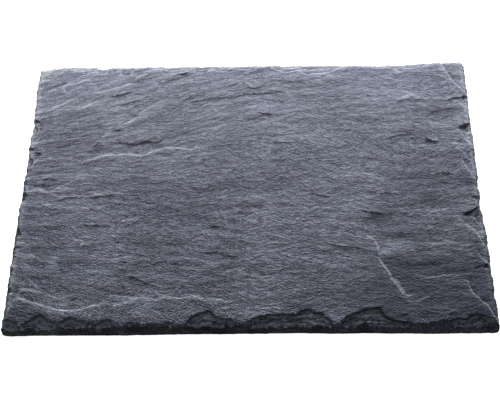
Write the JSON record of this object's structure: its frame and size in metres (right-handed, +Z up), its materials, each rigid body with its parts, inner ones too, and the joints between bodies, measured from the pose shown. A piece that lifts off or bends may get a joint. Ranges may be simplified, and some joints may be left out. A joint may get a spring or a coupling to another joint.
{
  "type": "slate slab",
  "caption": "Thin rectangular slab of riven slate with broken, chipped edges, a layered rough top face and a flat underside; a serving board or display base.",
  "frame": {"origin": "middle of the slab's box at its underside, on the surface it rests on", "axes": "+X along the long side, +Y along the short side to the back edge, +Z up through the riven top face"},
  "size_m": [0.3012, 0.2008, 0.0078],
  "materials": {
    "slate": "riven blue-grey slate with a faint satin sheen, paler on broken ridges"
  },
  "bodies": {
    "root": {"slab": "slate"}
  },
  "joints": []
}
